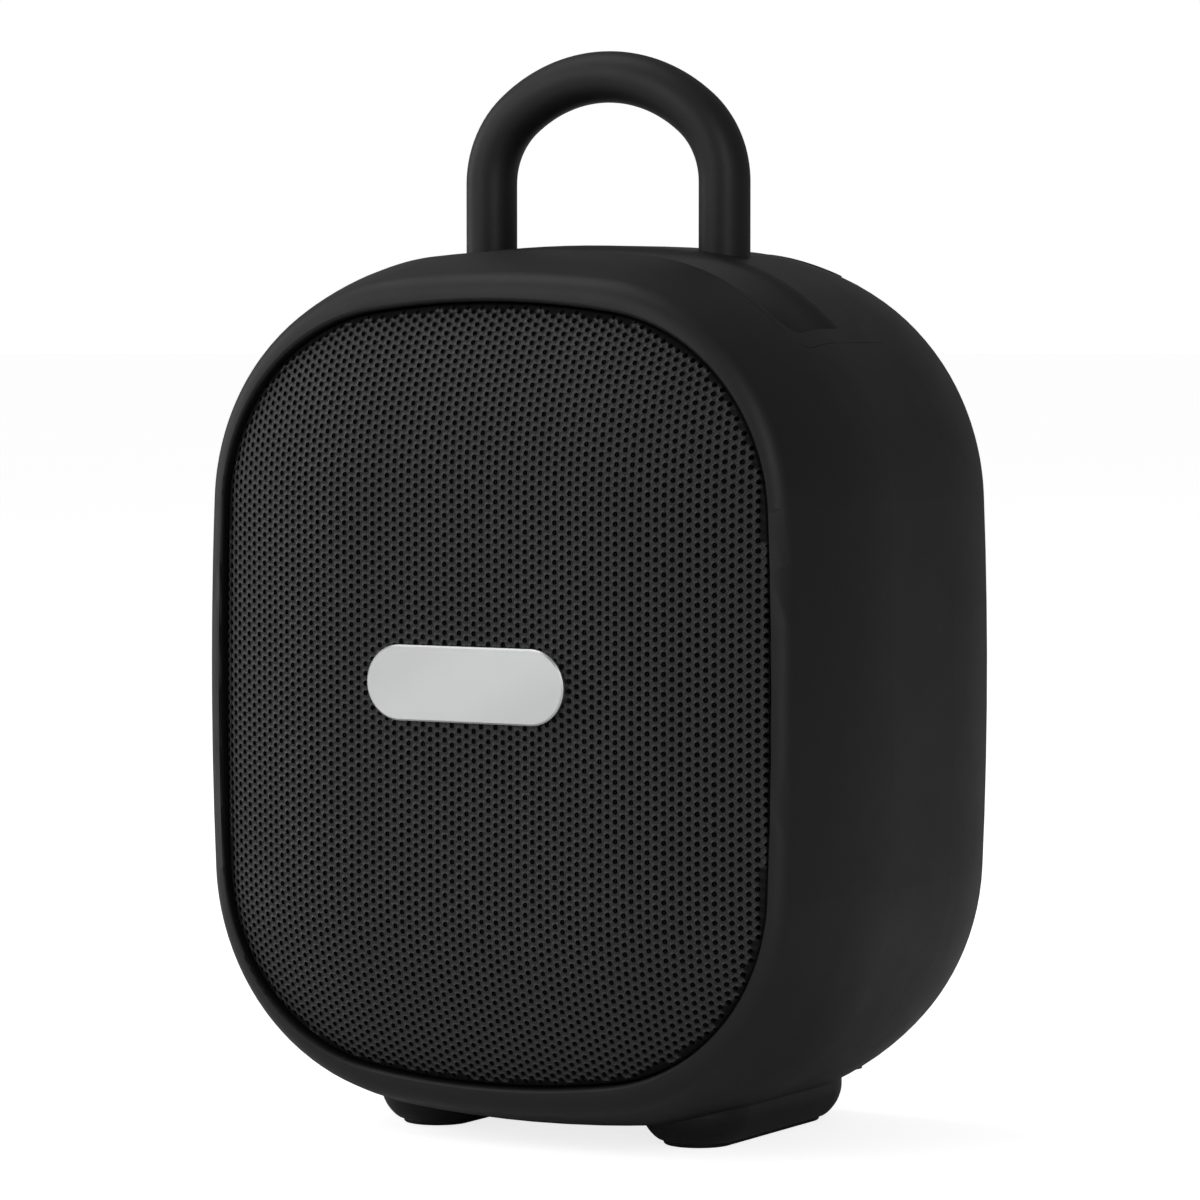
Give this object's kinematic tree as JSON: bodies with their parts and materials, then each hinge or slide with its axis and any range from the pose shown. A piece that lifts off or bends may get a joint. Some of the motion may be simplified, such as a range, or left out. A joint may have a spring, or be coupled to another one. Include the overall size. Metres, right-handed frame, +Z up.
{
  "type": "portable speaker",
  "caption": "Upright rounded portable speaker with a crowned perforated grille, a bare plate badge, a round carrying loop and a control trough on top.",
  "frame": {"origin": "on the ground under the middle of the speaker's box", "axes": "+Z up, the grille faces -Y, the rear shell faces +Y, +X to the right seen from the front"},
  "size_m": [0.1094, 0.0722, 0.1653],
  "materials": {
    "case_plastic": "soft-touch black",
    "grille_paint": "black powder coat",
    "black_cloth": "fine acoustic weave",
    "badge_aluminium": "fine brushed",
    "foam": "closed-cell foam",
    "black_rubber": "matte",
    "loop_silicone": "matte silicone",
    "key_rubber": "matte",
    "zinc_steel": "plated",
    "inner_plastic": "moulded",
    "ferrite": "sintered",
    "cone_paper": "pressed pulp",
    "coil_copper": "enamelled copper winding",
    "spider_cloth": "resin-dipped",
    "light_lens": "frosted",
    "circuit_board": "solder mask",
    "socket_steel": "stamped",
    "cell_wrap": "shrink wrap over a steel can",
    "strap_tape": "woven tape",
    "lead_jacket": "soft jacket"
  },
  "bodies": {
    "case": {"audio_jack": "inner_plastic", "badge": "badge_aluminium", "badge_adhesive": "foam", "battery_cells": "cell_wrap", "battery_holder": "inner_plastic", "battery_leads": "lead_jacket", "battery_straps": "strap_tape", "board_screws": "zinc_steel", "case_screws": "zinc_steel", "case_seal": "black_rubber", "driver_frame": "inner_plastic", "driver_gasket": "foam", "driver_leads": "lead_jacket", "driver_magnet": "ferrite", "driver_screws": "zinc_steel", "driver_spider": "spider_cloth", "driver_surround": "black_rubber", "driver_top_plate": "zinc_steel", "driver_yoke": "zinc_steel", "foot_pad_left": "black_rubber", "foot_pad_right": "black_rubber", "front_housing": "case_plastic", "grille": "grille_paint", "grille_cloth": "black_cloth", "handle_clamp": "inner_plastic", "handle_loop": "loop_silicone", "handle_screws": "zinc_steel", "key_board": "circuit_board", "key_board_screws": "zinc_steel", "key_leads": "lead_jacket", "key_switches": "inner_plastic", "main_board": "circuit_board", "panel_screws": "zinc_steel", "port_cover_anchor": "black_rubber", "radiator_ring": "inner_plastic", "radiator_surround": "black_rubber", "rear_housing": "case_plastic", "shoulder_pad_left": "black_rubber", "shoulder_pad_right": "black_rubber", "status_light": "light_lens", "top_panel": "case_plastic", "usb_c_socket": "socket_steel"},
    "button_power": {"button_power": "key_rubber"},
    "button_volume_down": {"button_volume_down": "key_rubber"},
    "button_play": {"button_play": "key_rubber"},
    "button_volume_up": {"button_volume_up": "key_rubber"},
    "button_pairing": {"button_pairing": "key_rubber"},
    "port_cover": {"port_cover": "black_rubber"},
    "cone": {"driver_cone": "cone_paper", "dust_cap": "cone_paper", "voice_coil": "coil_copper"},
    "radiator": {"radiator_plate": "inner_plastic"}
  },
  "joints": [
    {"name": "button_power_press", "type": "slide", "parent": "case", "child": "button_power", "axis": [0, 0, 1], "range_m": [-0.0005, 0], "stiffness_N_per_m": 1500},
    {"name": "button_volume_down_press", "type": "slide", "parent": "case", "child": "button_volume_down", "axis": [0, 0, 1], "range_m": [-0.0005, 0], "stiffness_N_per_m": 1500},
    {"name": "button_play_press", "type": "slide", "parent": "case", "child": "button_play", "axis": [0, 0, 1], "range_m": [-0.0005, 0], "stiffness_N_per_m": 1500},
    {"name": "button_volume_up_press", "type": "slide", "parent": "case", "child": "button_volume_up", "axis": [0, 0, 1], "range_m": [-0.0005, 0], "stiffness_N_per_m": 1500},
    {"name": "button_pairing_press", "type": "slide", "parent": "case", "child": "button_pairing", "axis": [0, 0, 1], "range_m": [-0.0005, 0], "stiffness_N_per_m": 1500},
    {"name": "port_cover_hinge", "type": "hinge", "parent": "case", "child": "port_cover", "pos_m": [0, 0.03535, 0.02345], "axis": [-1, 0, 0], "range_deg": [0, 100]},
    {"name": "cone_travel", "type": "slide", "parent": "case", "child": "cone", "axis": [0, 1, 0], "range_m": [-0.0015, 0.0015], "stiffness_N_per_m": 1500, "deforming": ["driver_surround", "driver_spider"]},
    {"name": "radiator_travel", "type": "slide", "parent": "case", "child": "radiator", "axis": [0, 1, 0], "range_m": [-0.0015, 0.0015], "stiffness_N_per_m": 800, "deforming": ["radiator_surround"]}
  ]
}
